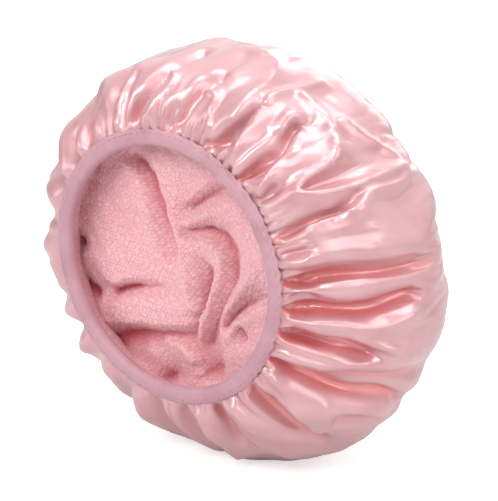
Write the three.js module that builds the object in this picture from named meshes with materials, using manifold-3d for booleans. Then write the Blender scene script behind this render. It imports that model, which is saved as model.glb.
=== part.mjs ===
// Satin shower cap with a terry lining, standing on its side with the opening towards -Y.
// Millimetres, +Z up. The cap's axis lies along +Y, from the middle of the rim to the crown.
import * as THREE from "three";
import { mergeVertices } from "three/addons/utils/BufferGeometryUtils.js";
import Module from "manifold-3d";

const wasm = await Module();
wasm.setup();

// Rim: a tape folded over the elastic and over the edges of the layers
const openingDiameter = 141;
const tapeWidth = 9;
const tapeThickness = 0.6;
const foldRadius = 2.6;
const rimSteps = 48;

// Lapped ends of the tape and of the elastic
const lapMiddle = -48.75;
const lapSteps = 2;
const lapRise = 0.55;
const elasticJoinAngle = 150;
const elasticWidth = 4.6;
const elasticThickness = 1.3;
const elasticSetback = 2.1;

// Layers and the clear space between neighbours
const satinThickness = 0.6;
const filmThickness = 0.4;
const terryThickness = 3;
const gap = 0.35;
const seamAllowance = 5;
const seamFlat = 1;

// Bag: widest girth, depth from the rim's middle to the crown, and how it settles
const girthWidth = 264;
const girthHeight = 254;
const capDepth = 128;
const girthDepth = 62;
const frontRoundness = 1.7;
const crownRoundness = 2.5;
const sag = 10.5;
const restFlat = 7;

// Main creases of the satin, which run back from the rim: the angle at the rim and at the end of the crease,
// in degrees from the top towards +X, then its depth and its reach along the cloth
const satinCreases = [
  [-107, -106.5, 6, 55],
  [-85, -84.5, 6, 60],
  [-66, -62, 6, 70],
  [-53, -44, 6, 45],
  [-42, -36, 6, 40],
  [-30, -27, 5, 35],
  [-18, -8, 6, 70],
  [2, 8, 6, 60],
  [21, 28, 6, 45],
  [40, 38, 8, 55],
  [50, 45, 4, 40],
  [57, 52, 5, 90],
  [66, 61, 7, 60],
  [72, 70, 4, 30],
  [84, 78, 9, 115],
  [94, 88, 10, 80],
  [104, 103, 10, 60],
  [112, 110, 6, 100],
  [118, 121, 9, 100],
  [135, 140, 8, 65],
  [154, 159, 8, 45],
  [172, 175, 6, 70],
  [188, 185, 7, 60],
  [203, 205, 8, 90],
  [219, 216, 6, 55],
  [233, 236, 8, 80],
  [247, 246, 7, 50],
];
// A crease is deepest from its start for a share of its reach, and is gone at its tail. Crests rise by a share
// of the creases' depth and lose it on the last part of the way to the girth.
const creaseStart = 14;
const creaseHold = 0.33;
const creaseTail = 1.45;
const crestShare = 0.45;
const crestHold = 0.6;

// Lining: crumpled pile showing in the opening
const dishDepth = 20;
const dishWall = 22;
const liningColumns = 40;
const liningRows = 11;

// Sewing
const threadDiameter = 0.5;
const threadClearance = 0.1;
const stitchLength = 4.5;
const gatherStitchLength = 6;
const stitchInset = 1.3;
const stitchDip = 0.2;
const tackLength = 4;
const tackWidth = 2.8;
const tackBars = 7;

// Sizes that follow
const openingRadius = openingDiameter / 2;
const lipRadius = openingRadius + tapeWidth;
const bagStart = lipRadius + seamFlat;
const stitchRadius = lipRadius - stitchInset;
const seamRadius = lipRadius - seamAllowance;
const liningEdge = stitchRadius - threadDiameter / 2 - gap;
const elasticInside = openingRadius + elasticSetback;
const threadLift = threadDiameter / 2 + threadClearance;
const threadSpace = threadClearance + threadDiameter + gap;

// What the folded tape holds, front to back: elastic, its lapped end and tack, satin, film, gathering thread
const rimContents = [
  gap + 2 * elasticThickness + threadSpace,
  satinThickness + gap + filmThickness + threadSpace + stitchDip,
];
const rimThickness = 2 * tapeThickness + rimContents[0] + rimContents[1];
const rimFace = rimThickness / 2;
const elasticFront = -rimFace + tapeThickness + gap;
const elasticBack = elasticFront + elasticThickness;
const satinFace = -rimFace + tapeThickness + rimContents[0];
const filmBack = satinFace + satinThickness + gap + filmThickness;
const floorLevel = -(girthHeight / 2 + sag) + restFlat;
const lapTurn = (lapSteps * 2 * Math.PI) / rimSteps;
const lapStart = THREE.MathUtils.degToRad(lapMiddle) - lapTurn / 2;

function smooth(from, to, value) {
  return THREE.MathUtils.smoothstep(value, from, to);
}

function around(radius, depth, angle) {
  return new THREE.Vector3(radius * Math.sin(angle), depth, radius * Math.cos(angle));
}

// Closed solids from indexed points

function indexed(points, triangles) {
  const geometry = new THREE.BufferGeometry();
  geometry.setFromPoints(points);
  geometry.setIndex(triangles);
  geometry.computeVertexNormals();
  return geometry;
}

// A sheet closed into a solid: point(face, column, row) for face 0 and 1, with one pole at the last row
function sheetSolid(columns, rows, point) {
  const points = [];
  const triangles = [];
  const faceSize = columns * rows + 1;
  for (const face of [0, 1]) {
    for (let row = 0; row < rows; row++) {
      for (let column = 0; column < columns; column++) {
        points.push(point(face, column, row));
      }
    }
    points.push(point(face, 0, rows));
  }
  const at = (face, column, row) => face * faceSize + row * columns + (column % columns);
  const add = (face, a, b, c) => triangles.push(...(face ? [a, c, b] : [a, b, c]));
  for (const face of [0, 1]) {
    const pole = face * faceSize + faceSize - 1;
    for (let column = 0; column < columns; column++) {
      for (let row = 0; row + 1 < rows; row++) {
        const a = at(face, column, row);
        const b = at(face, column + 1, row);
        const c = at(face, column + 1, row + 1);
        const d = at(face, column, row + 1);
        add(face, a, b, c);
        add(face, a, c, d);
      }
      add(face, at(face, column, rows - 1), at(face, column + 1, rows - 1), pole);
    }
  }
  for (let column = 0; column < columns; column++) {
    const a = at(0, column, 0);
    const b = at(0, column + 1, 0);
    const c = at(1, column + 1, 0);
    const d = at(1, column, 0);
    triangles.push(a, c, b, a, d, c);
  }
  return indexed(points, triangles);
}

// A closed outline in (radius, depth) carried round the axis, whole or as an arc with flat ends
function revolve(outline, start, turn, steps) {
  const whole = turn >= 2 * Math.PI;
  const section = THREE.ShapeUtils.isClockWise(outline) ? [...outline].reverse() : outline;
  const size = section.length;
  const rings = whole ? steps : steps + 1;
  const points = [];
  const triangles = [];
  for (let ring = 0; ring < rings; ring++) {
    for (const p of section) points.push(around(p.x, p.y, start + (ring * turn) / steps));
  }
  for (let ring = 0; ring < steps; ring++) {
    const here = ring * size;
    const next = ((ring + 1) % rings) * size;
    for (let k = 0; k < size; k++) {
      const l = (k + 1) % size;
      triangles.push(here + k, next + k, next + l, here + k, next + l, here + l);
    }
  }
  if (!whole) {
    const last = steps * size;
    for (const [a, b, c] of THREE.ShapeUtils.triangulateShape(section, [])) {
      triangles.push(a, b, c, last + a, last + c, last + b);
    }
  }
  return indexed(points, triangles);
}

function toSolid(geometry) {
  const plain = geometry.clone();
  plain.deleteAttribute("normal");
  plain.deleteAttribute("uv");
  const merged = mergeVertices(plain);
  const vertProperties = new Float32Array(merged.attributes.position.array);
  const triVerts = new Uint32Array(merged.index.array);
  return new wasm.Manifold(new wasm.Mesh({ numProp: 3, vertProperties, triVerts }));
}

function join(first, second) {
  const mesh = toSolid(first).add(toSolid(second)).getMesh();
  const geometry = new THREE.BufferGeometry();
  geometry.setAttribute("position", new THREE.BufferAttribute(mesh.vertProperties, 3));
  geometry.setIndex(new THREE.BufferAttribute(mesh.triVerts, 1));
  geometry.computeVertexNormals();
  return geometry;
}

// Bag: meridian rows from the sewn edge over the girth to the crown

const frontRows = [12, 28, 46, 64, 78];
const crownRows = [14, 32, 54, 76];
const meridian = [
  { radius: seamRadius, depth: satinFace, settle: 0 },
  { radius: bagStart, depth: satinFace, settle: 0 },
  ...frontRows.map((degrees) => frontPoint(THREE.MathUtils.degToRad(degrees))),
  { radius: girthWidth / 2, depth: girthDepth, settle: 1 },
  ...crownRows.map((degrees) => crownPoint(THREE.MathUtils.degToRad(degrees))),
  { radius: 0, depth: capDepth, settle: 1 },
];
const girthRow = 2 + frontRows.length;

// Each row's distance along the cloth from the start of the bag
meridian.forEach((at, row) => {
  const before = meridian[Math.max(row - 1, 1)];
  at.along = row < 2 ? 0 : before.along + Math.hypot(at.radius - before.radius, at.depth - before.depth);
});

function frontPoint(angle) {
  const out = Math.sin(angle) ** (2 / frontRoundness);
  const back = 1 - Math.cos(angle) ** (2 / frontRoundness);
  const depth = satinFace + (girthDepth - satinFace) * back;
  return { radius: bagStart + (girthWidth / 2 - bagStart) * out, depth, settle: smooth(0, 1, back) };
}

function crownPoint(angle) {
  const radius = (girthWidth / 2) * Math.cos(angle) ** (2 / crownRoundness);
  const depth = girthDepth + (capDepth - girthDepth) * Math.sin(angle) ** (2 / crownRoundness);
  return { radius, depth, settle: 1 };
}

// A row's outward direction in (radius, depth), from its neighbours
function rowNormal(row) {
  const before = meridian[Math.max(row - 1, 0)];
  const after = meridian[Math.min(row + 1, meridian.length - 1)];
  const along = new THREE.Vector2(after.radius - before.radius, after.depth - before.depth).normalize();
  if (row === meridian.length - 1) return new THREE.Vector2(0, 1);
  if (row < 2) return new THREE.Vector2(0, -1);
  return new THREE.Vector2(along.y, -along.x);
}

function creaseAt(number, along) {
  const turns = Math.floor(number / satinCreases.length);
  const [rimAngle, endAngle, depth, reach] = satinCreases[number % satinCreases.length];
  const angle = rimAngle + (endAngle - rimAngle) * smooth(0, reach, along) + 360 * turns;
  const fade = 1 - smooth(creaseHold * reach, creaseTail * reach, along);
  return { angle, depth: depth * fade * smooth(0, creaseStart, along) };
}

// The cloth's columns run along the creases and along the crests halfway between them
const foldColumns = 2 * satinCreases.length;

function foldAt(column, row) {
  const along = meridian[row].along;
  const here = creaseAt(Math.floor(column / 2), along);
  if (column % 2 === 0) return { angle: THREE.MathUtils.degToRad(here.angle), rise: -here.depth };
  const next = creaseAt(Math.ceil(column / 2), along);
  const angle = THREE.MathUtils.degToRad((here.angle + next.angle) / 2);
  const girthAlong = meridian[girthRow].along;
  const swell = (crestShare * (here.depth + next.depth)) / 2;
  return { angle, rise: swell * (1 - smooth(crestHold * girthAlong, girthAlong, along)) };
}

// The bag's surface moved out by rise, then settled under its own weight onto a flat at the bottom
function bagPoint(angle, row, rise, floorGap) {
  const at = meridian[row];
  const normal = rowNormal(row);
  const point = around(at.radius + normal.x * rise, at.depth + normal.y * rise, angle);
  const squash = girthHeight / girthWidth;
  point.z = point.z * (1 + (squash - 1) * at.settle) - sag * at.settle;
  point.z = Math.max(point.z, floorLevel + floorGap);
  return point;
}

// A layer of the bag, its outer face set in from the satin's
function bagLayer(setIn, thickness) {
  return sheetSolid(foldColumns, meridian.length - 1, (face, column, row) => {
    const inset = setIn + face * thickness;
    const { angle, rise } = foldAt(column, row);
    return bagPoint(angle, row, rise - inset, inset);
  });
}

// Lining: ridges stand towards the opening and creases sink away from it, in (x, z) about the rim's middle

const liningFolds = [
  { height: 9, width: 9, route: [[-25, 58], [-12, 31], [-1, 0], [7, -34]] },
  { height: 11, width: 14, route: [[-60, 25], [-45, 15], [-36, -2], [-49, -19]] },
  { height: 8, width: 8, route: [[-58, -43], [-44, -37], [-19, -33], [2, -37]] },
  { height: 9, width: 7, route: [[40, -1], [28, -16], [15, -42]] },
  { height: 8, width: 9, route: [[52, 12], [47, -1], [33, -22]] },
  { height: -8, width: 8, route: [[-42, 45], [-28, 19], [-16, -2]] },
  { height: -7, width: 7, route: [[-8, 13], [5, 17], [17, 13], [24, 0], [19, -17]] },
  { height: -6, width: 6, route: [[-58, -32], [-44, -30], [-24, -20]] },
  { height: -7, width: 7, route: [[-50, -56], [-31, -55], [-4, -46]] },
];

function distanceToRoute(x, z, route) {
  const spot = new THREE.Vector3(x, 0, z);
  const nearest = new THREE.Vector3();
  let least = Infinity;
  for (let k = 0; k + 1 < route.length; k++) {
    const from = new THREE.Vector3(route[k][0], 0, route[k][1]);
    const to = new THREE.Vector3(route[k + 1][0], 0, route[k + 1][1]);
    new THREE.Line3(from, to).closestPointToPoint(spot, true, nearest);
    least = Math.min(least, nearest.distanceTo(spot));
  }
  return least;
}

function liningDepth(x, z) {
  const radius = Math.hypot(x, z);
  const inward = 1 - smooth(openingRadius - dishWall, openingRadius, radius);
  let depth = dishDepth;
  for (const { height, width, route } of liningFolds) {
    depth -= height * Math.exp(-((distanceToRoute(x, z, route) / width) ** 2));
  }
  return rimFace + gap + Math.max(depth, 0) * inward;
}

function terryLining() {
  return sheetSolid(liningColumns, liningRows, (face, column, row) => {
    const radius = liningEdge * (1 - row / liningRows);
    const point = around(radius, 0, (column * 2 * Math.PI) / liningColumns);
    point.y = liningDepth(point.x, point.z) + (face ? 0 : terryThickness);
    return point;
  });
}

// Rim pieces

// One line of the folded tape, from the lip of its front leg round the fold to the lip of its back leg
function foldLine(inset) {
  const face = rimFace - inset;
  const bend = foldRadius - inset;
  const middle = openingRadius + foldRadius;
  const line = new THREE.Path();
  line.moveTo(lipRadius, -face);
  line.absarc(middle, -face + bend, bend, -Math.PI / 2, -Math.PI, true);
  line.absarc(middle, face - bend, bend, Math.PI, Math.PI / 2, true);
  line.lineTo(lipRadius, face);
  return line.getPoints(2);
}

// The tape's free end lies over its front leg and fold
function rimBinding() {
  const section = [...foldLine(0), ...foldLine(tapeThickness).reverse()];
  const tape = revolve(section, lapStart, 2 * Math.PI, rimSteps);
  const cover = (inset) => foldLine(inset).filter((p) => p.y < 0);
  const lapSection = [...cover(-lapRise), ...cover(tapeThickness / 4).reverse()];
  return join(tape, revolve(lapSection, lapStart, lapTurn, lapSteps));
}

function ringSection(inside, outside, front, back) {
  return [[inside, front], [outside, front], [outside, back], [inside, back]].map(
    ([radius, depth]) => new THREE.Vector2(radius, depth),
  );
}

const elasticJoin = THREE.MathUtils.degToRad(elasticJoinAngle);
const elasticStart = elasticJoin - lapTurn / 2;

// The elastic's ends overlap by one short length, the second on top of the first
function elasticBand() {
  const outside = elasticInside + elasticWidth;
  const band = ringSection(elasticInside, outside, elasticFront, elasticBack);
  const end = ringSection(elasticInside, outside, elasticBack - 0.1, elasticBack + elasticThickness);
  const ring = revolve(band, elasticStart, 2 * Math.PI, rimSteps);
  return join(ring, revolve(end, elasticStart, lapTurn, lapSteps));
}

// Thread

class StitchRow extends THREE.Curve {
  constructor(radius, level, side, stitches, overLap) {
    super();
    Object.assign(this, { radius, level, side, stitches, overLap });
  }
  getPoint(t, target = new THREE.Vector3()) {
    const angle = t * 2 * Math.PI;
    const fromLap = THREE.MathUtils.euclideanModulo(angle - lapStart - lapTurn / 2 + Math.PI, 2 * Math.PI);
    const climb = 1 - smooth(lapTurn / 2 + 0.03, lapTurn / 2 + 0.09, Math.abs(fromLap - Math.PI));
    const lift = (stitchDip / 2) * (1 + Math.cos(this.stitches * angle));
    const rise = lift + (this.overLap ? lapRise * climb : 0);
    return target.copy(around(this.radius, this.level + this.side * rise, angle));
  }
  getPointAt(u, target) {
    return this.getPoint(u, target);
  }
}

function stitchRing(radius, level, side, length, overLap) {
  const stitches = Math.round((2 * Math.PI * radius) / length);
  const row = new StitchRow(radius, level, side, stitches, overLap);
  return new THREE.TubeGeometry(row, stitches * 2, threadDiameter / 2, 3, true);
}

// A bar tack: one thread going to and fro across a lapped end
function barTack(inside, level, angle) {
  const points = [];
  for (let bar = 0; bar <= tackBars; bar++) {
    const radius = inside + (tackLength * bar) / tackBars;
    const swing = (bar % 2 ? tackWidth : -tackWidth) / 2;
    points.push(around(radius, level, angle + swing / radius));
  }
  const section = new THREE.Shape();
  section.absarc(0, 0, threadDiameter / 2, 0, 2 * Math.PI, false);
  const extrudePath = new THREE.CatmullRomCurve3(points, false, "catmullrom", 0.1);
  return new THREE.ExtrudeGeometry(section, { steps: tackBars * 3, curveSegments: 2, extrudePath });
}

// Assembly

const cap = new THREE.Group();

function addPiece(name, geometry, color, roughness) {
  const material = new THREE.MeshStandardMaterial({ color, roughness, metalness: 0 });
  const mesh = new THREE.Mesh(geometry, material);
  mesh.name = name;
  cap.add(mesh);
}

const pink = "#d79aac";
const white = "#f4f2ee";
const rowFront = -rimFace - threadLift;
const gatherLevel = filmBack + threadLift;
const gatherRadius = seamRadius + seamAllowance * 0.4;
const lapTackLevel = -rimFace - lapRise - threadLift;
const elasticTackLevel = elasticBack + elasticThickness + threadLift;
const lapTackInside = openingRadius + foldRadius;
const elasticTackInside = elasticInside + (elasticWidth - tackLength) / 2;

addPiece("satin_shell", bagLayer(0, satinThickness), "#e0a9b3", 0.35);
addPiece("waterproof_film", bagLayer(satinThickness + gap, filmThickness), "#f3eef0", 0.4);
addPiece("terry_lining", terryLining(), "#e58f98", 0.95);
addPiece("rim_binding", rimBinding(), "#d4a5b8", 0.6);
addPiece("elastic_band", elasticBand(), white, 0.8);
addPiece("needle_thread", stitchRing(stitchRadius, rowFront, -1, stitchLength, true), pink, 0.7);
addPiece("bobbin_thread", stitchRing(stitchRadius, -rowFront, 1, stitchLength, false), pink, 0.7);
addPiece("gathering_thread", stitchRing(gatherRadius, gatherLevel, 1, gatherStitchLength, false), pink, 0.7);
addPiece("lap_tack", barTack(lapTackInside, lapTackLevel, lapStart + lapTurn / 4), pink, 0.7);
addPiece("elastic_tack", barTack(elasticTackInside, elasticTackLevel, elasticJoin), white, 0.7);

// The origin is under the middle of the cap, on the surface it stands on
const box = new THREE.Box3().setFromObject(cap);
const middle = box.getCenter(new THREE.Vector3());
cap.position.set(-middle.x, -middle.y, -box.min.z);
cap.updateMatrixWorld(true);

export default cap;
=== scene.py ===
import math
from contextlib import contextmanager

import bmesh
import bpy
import numpy as np
from mathutils import Matrix, Vector


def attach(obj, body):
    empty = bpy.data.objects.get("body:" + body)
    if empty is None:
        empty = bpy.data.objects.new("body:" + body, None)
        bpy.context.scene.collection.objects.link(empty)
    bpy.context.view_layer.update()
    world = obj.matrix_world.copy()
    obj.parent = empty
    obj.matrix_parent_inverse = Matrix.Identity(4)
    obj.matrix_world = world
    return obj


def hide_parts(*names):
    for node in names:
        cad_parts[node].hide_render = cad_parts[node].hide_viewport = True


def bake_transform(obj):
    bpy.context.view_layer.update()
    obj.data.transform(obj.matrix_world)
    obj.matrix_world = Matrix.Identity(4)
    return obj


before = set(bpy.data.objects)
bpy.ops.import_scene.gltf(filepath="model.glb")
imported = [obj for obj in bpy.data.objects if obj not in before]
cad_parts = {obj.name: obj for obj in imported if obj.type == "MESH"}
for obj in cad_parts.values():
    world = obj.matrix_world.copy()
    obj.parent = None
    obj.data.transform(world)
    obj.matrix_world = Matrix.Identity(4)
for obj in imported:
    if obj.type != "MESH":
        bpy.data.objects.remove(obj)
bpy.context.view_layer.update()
scene = bpy.context.scene
scene.view_settings.view_transform = "Standard"

# the rim's middle plane, which every piece is measured from
rim = {"middle": Vector((0, -0.06144, 0.1305)), "inside": 0.0705, "lip": 0.0795, "face": 0.0038}

mmPerMetre = 1000  # the routes of folds are written in mm
anyPhase = 6.28  # a random wave starts anywhere in its turn
tiny = 1e-5


def smooth(low, high, value):
    t = np.clip((value - low) / (high - low), 0, 1)
    return t * t * (3 - 2 * t)


# a limit that is neared but not crossed
def softly(gap, reach):
    return np.where(gap > reach, gap, reach * np.exp(np.minimum(gap / reach - 1, 0)))


def onRim(radius, depth, angle):
    spot = np.stack([radius * np.sin(angle), depth + 0 * angle, radius * np.cos(angle)], -1)
    return spot + np.array(rim["middle"])


def wobble(angle, waves, seed):
    rng = np.random.default_rng(seed)
    return sum(size * np.sin(count * angle + rng.uniform(0, anyPhase)) for count, size in waves)


def pointsOf(mesh):
    points = np.empty(len(mesh.vertices) * 3)
    mesh.vertices.foreach_get("co", points)
    return points.reshape(-1, 3)


def normalsOf(mesh):
    normals = np.empty(len(mesh.vertices) * 3)
    mesh.vertex_normals.foreach_get("vector", normals)
    return normals.reshape(-1, 3)


def setPoints(mesh, points):
    mesh.vertices.foreach_set("co", np.asarray(points, np.float32).ravel())
    mesh.update()


def attributeOf(mesh, name):
    values = np.empty(len(mesh.vertices))
    mesh.attributes[name].data.foreach_get("value", values)
    return values


def setAttribute(mesh, name, values):
    layer = mesh.attributes.new(name, "FLOAT", "POINT")
    layer.data.foreach_set("value", np.asarray(values, np.float32))


def setUv(mesh, flat):
    layer = mesh.uv_layers.active or mesh.uv_layers.new(name="cloth")
    corners = np.empty(len(mesh.loops), int)
    mesh.loops.foreach_get("vertex_index", corners)
    layer.data.foreach_set("uv", np.asarray(flat[corners], np.float32).ravel())


def newPiece(name, bm):
    mesh = bpy.data.meshes.new(name)
    bm.to_mesh(mesh)
    bm.free()
    mesh.polygons.foreach_set("use_smooth", [True] * len(mesh.polygons))
    piece = bpy.data.objects.new(name, mesh)
    scene.collection.objects.link(piece)
    return piece


# a mesh opened for bmesh operators and written back
@contextmanager
def meshEdit(mesh):
    bm = bmesh.new()
    bm.from_mesh(mesh)
    yield bm
    bm.to_mesh(mesh)
    bm.free()


def relax(bm, verts, turns):
    for turn in range(turns):
        bmesh.ops.smooth_vert(bm, verts=verts, factor=0.5, use_axis_x=True, use_axis_y=True, use_axis_z=True)


def unsewn(bm):
    return [vert for vert in bm.verts if not vert.is_boundary]


def thicken(piece, thickness):
    wall = piece.modifiers.new("wall", "SOLIDIFY")
    wall.thickness = thickness
    wall.offset = -1  # inwards


# corners of a route are cut twice, so that folds flow
def rounded(route):
    for turn in range(2):
        cut = [route[0]]
        for start, end in zip(route, route[1:]):
            for share in (0.25, 0.75):
                cut.append(tuple((1 - share) * a + share * b for a, b in zip(start, end)))
        route = cut + [route[-1]]
    return route


# a ridge or a crease along a route: its own width on each side, pointed or round,
# and the share of its height that is left at its end
def foldHeight(x, z, height, left, right, route, point=2.0, tail=1.0):
    route = rounded(route)
    lengths = [math.dist(a, b) for a, b in zip(route, route[1:])]
    best, done = np.full(x.shape, 1e9), 0.0
    width, progress = np.full(x.shape, float(left)), np.zeros(x.shape)
    for (ax, az), (bx, bz), length in zip(route, route[1:], lengths):
        dx, dz = bx - ax, bz - az
        share = np.clip(((x - ax) * dx + (z - az) * dz) / (length * length), 0, 1)
        offX, offZ = x - ax - share * dx, z - az - share * dz
        far = offX ** 2 + offZ ** 2
        nearer = far < best
        width = np.where(nearer, np.where(dx * offZ - dz * offX > 0, left, right), width)
        progress = np.where(nearer, (done + share * length) / sum(lengths), progress)
        best = np.minimum(best, far)
        done += length
    return height * (1 + (tail - 1) * progress) * np.exp(-(np.sqrt(best) / width) ** point)


# camera at the photograph's angle
shot = {
    "azimuth": 37.3, "elevation": 20.0, "distance": 1.1, "lens": 146.8,
    "target": (0.0572, -0.06144, 0.1532),
}


def makeCamera():
    azimuth, elevation = math.radians(shot["azimuth"]), math.radians(shot["elevation"])
    level = math.cos(elevation)
    back = Vector((math.sin(azimuth) * level, -math.cos(azimuth) * level, math.sin(elevation)))
    camera = bpy.data.objects.new("camera", bpy.data.cameras.new("camera"))
    camera.data.lens = shot["lens"]
    camera.location = Vector(shot["target"]) + back * shot["distance"]
    camera.rotation_euler = (-back).to_track_quat("-Z", "Y").to_euler()
    scene.collection.objects.link(camera)
    scene.camera = camera
    print("camera set")


# materials: the owner of a node is a material or the world


def newMaterial(name, look):
    material = bpy.data.materials.new(name)
    material.use_nodes = True
    shader = material.node_tree.nodes["Principled BSDF"]
    shader.inputs["Base Color"].default_value = (*look["shades"][-1][1], 1)
    shader.inputs["Roughness"].default_value = look["roughness"]
    for socket, value in look.get("finish", {}).items():
        shader.inputs[socket].default_value = value
    return material, shader


def addNode(owner, kind, inputs=None, **settings):
    node = owner.node_tree.nodes.new("ShaderNode" + kind)
    for name, value in settings.items():
        setattr(node, name, value)
    for socket, value in (inputs or {}).items():
        if isinstance(value, bpy.types.NodeSocket):
            owner.node_tree.links.new(value, node.inputs[socket])
        else:
            node.inputs[socket].default_value = value
    return node


def plug(owner, source, socket):
    owner.node_tree.links.new(source, socket)


def coordinates(owner, kind):
    return addNode(owner, "TexCoord").outputs[kind]


def marked(material, attribute):
    return addNode(material, "Attribute", attribute_name=attribute).outputs["Fac"]


def ramp(material, factor, stops):
    node = addNode(material, "ValToRGB", {"Fac": factor})
    elements = node.color_ramp.elements
    while len(elements) < len(stops):
        elements.new(0.5)
    for element, (position, color) in zip(elements, stops):
        element.position = position
        element.color = (*color, 1)
    return node.outputs["Color"]


# a second colour where an attribute of the mesh asks for it
def tinted(material, color, attribute, tint):
    inputs = {"Fac": marked(material, attribute), "Color1": color, "Color2": (*tint, 1)}
    return addNode(material, "MixRGB", inputs).outputs[0]


def cloud(material, vector, scale, detail=2.0, roughness=0.5):
    inputs = {"Vector": vector, "Scale": scale, "Detail": detail, "Roughness": roughness}
    return addNode(material, "TexNoise", inputs).outputs["Fac"]


# noise drawn out to so many waves in a metre along and across the cloth
def streaks(material, vector, waves, detail=2.0):
    drawn = addNode(material, "Mapping", {"Vector": vector, "Scale": waves}).outputs["Vector"]
    return cloud(material, drawn, 1.0, detail)


def twist(material, scale, distortion):
    inputs = {"Vector": coordinates(material, "Object"), "Scale": scale, "Distortion": distortion}
    return addNode(material, "TexWave", inputs).outputs["Fac"]


def bump(material, height, strength, distance, under=None):
    inputs = {"Height": height, "Strength": strength, "Distance": distance}
    if under:
        inputs["Normal"] = under
    return addNode(material, "Bump", inputs).outputs["Normal"]


# colour from one pattern and relief from another
def dress(material, shader, pattern, relief, look):
    plug(material, ramp(material, pattern, look["shades"]), shader.inputs["Base Color"])
    plug(material, bump(material, relief, *look["relief"]), shader.inputs["Normal"])


satinLook = {
    "shades": [(0.3, (0.55, 0.26, 0.28)), (0.6, (0.60, 0.33, 0.35))],
    # crease: painted shade, the deep warm red of light bouncing inside the creases
    "crease": (0.74, 0.22, 0.22), "roughness": 0.38,
    "finish": {"Metallic": 0.25, "Specular IOR Level": 0.9, "Coat Weight": 0.6, "Coat IOR": 1.7,
               "Coat Roughness": 0.18, "Anisotropic": 0.5},
    "clouds": (40, 12, 1), "threads": (3200, 260, 1), "threadRelief": (0.06, 0.0001),
    "wrinkles": (170, 45, 1), "wrinkleRelief": (1.0, 0.0003),
}


def satinMaterial():
    look = satinLook
    material, shader = newMaterial("pinkSatin", look)
    flat = coordinates(material, "UV")
    color = ramp(material, streaks(material, flat, look["clouds"]), look["shades"])
    # painted shade: the creases are tinted deep red, the more the deeper they are
    plug(material, tinted(material, color, "creaseShade", look["crease"]), shader.inputs["Base Color"])
    around = {"X": marked(material, "turn"), "Y": marked(material, "back")}
    place = addNode(material, "CombineXYZ", around).outputs["Vector"]
    rumpled = bump(material, streaks(material, place, look["wrinkles"]), *look["wrinkleRelief"])
    threads = streaks(material, flat, look["threads"], 1)
    plug(material, bump(material, threads, *look["threadRelief"], rumpled), shader.inputs["Normal"])
    warp = addNode(material, "Tangent", direction_type="UV_MAP", uv_map="cloth")
    plug(material, warp.outputs[0], shader.inputs["Tangent"])
    return material


terryLook = {
    # the first shade is painted shade in the gaps between the loops, the second the loop tops
    "shades": [(0.15, (0.74, 0.34, 0.37)), (0.8, (0.82, 0.51, 0.54))],
    # hollowShade: painted shade, the dark red of the deep hollows
    "hollowShade": (0.54, 0.07, 0.10), "roughness": 0.95,
    "finish": {"Specular IOR Level": 0.15, "Sheen Weight": 0.35, "Sheen Roughness": 0.6,
               "Sheen Tint": (1.0, 0.85, 0.87, 1)},
    "fuzz": (1500, 3, 0.6), "fuzzRelief": (0.4, 0.0005),
}


def terryMaterial():
    look = terryLook
    material, shader = newMaterial("pinkTerry", look)
    # painted shade between the loops: the gaps take the darker shade, the loop tops the paler
    color = ramp(material, marked(material, "pile"), look["shades"])
    # painted shade: the deep hollows are tinted dark red
    plug(material, tinted(material, color, "sunk", look["hollowShade"]), shader.inputs["Base Color"])
    fuzz = cloud(material, coordinates(material, "UV"), *look["fuzz"])
    plug(material, bump(material, fuzz, *look["fuzzRelief"]), shader.inputs["Normal"])
    return material


tapeLook = {
    "shades": [(0.3, (0.44, 0.23, 0.28)), (0.62, (0.50, 0.28, 0.33))],
    "roughness": 0.62, "finish": {"Specular IOR Level": 0.3, "Sheen Weight": 0.2},
    "stains": (60, 120, 1), "ribs": (1400, 60, 1), "relief": (0.35, 0.0003),
}


def tapeMaterial():
    material, shader = newMaterial("mauveTape", tapeLook)
    along = coordinates(material, "UV")
    stains, ribs = (streaks(material, along, tapeLook[name]) for name in ("stains", "ribs"))
    dress(material, shader, stains, ribs, tapeLook)
    return material


threadLook = {
    "pink": (0.68, 0.34, 0.42), "white": (0.82, 0.80, 0.78), "dark": 0.75,
    "roughness": 0.55, "finish": {"Sheen Weight": 0.3}, "twist": (900.0, 2.0), "relief": (0.4, 0.0002),
}


def threadMaterial(tone):
    color = threadLook[tone]
    dark = tuple(threadLook["dark"] * part for part in color)
    look = {**threadLook, "shades": [(0.2, dark), (0.7, color)]}
    material, shader = newMaterial(tone + "Thread", look)
    strands = twist(material, *look["twist"])
    dress(material, shader, strands, strands, look)
    return material


filmLook = {
    "shades": [(0.3, (0.80, 0.73, 0.76)), (0.7, (0.90, 0.85, 0.87))],
    "roughness": 0.35, "haze": (60, 3), "relief": (0.2, 0.0004),
}


def filmMaterial():
    material, shader = newMaterial("clearFilm", filmLook)
    haze = cloud(material, coordinates(material, "UV"), *filmLook["haze"])
    dress(material, shader, haze, haze, filmLook)
    return material


elasticLook = {
    "shades": [(0.2, (0.72, 0.70, 0.68)), (0.7, (0.88, 0.86, 0.84))],
    "roughness": 0.8, "braid": (500.0, 1.0), "relief": (0.4, 0.0003),
}


def elasticMaterial():
    material, shader = newMaterial("whiteElastic", elasticLook)
    braid = twist(material, *elasticLook["braid"])
    dress(material, shader, braid, braid, elasticLook)
    return material


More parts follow.
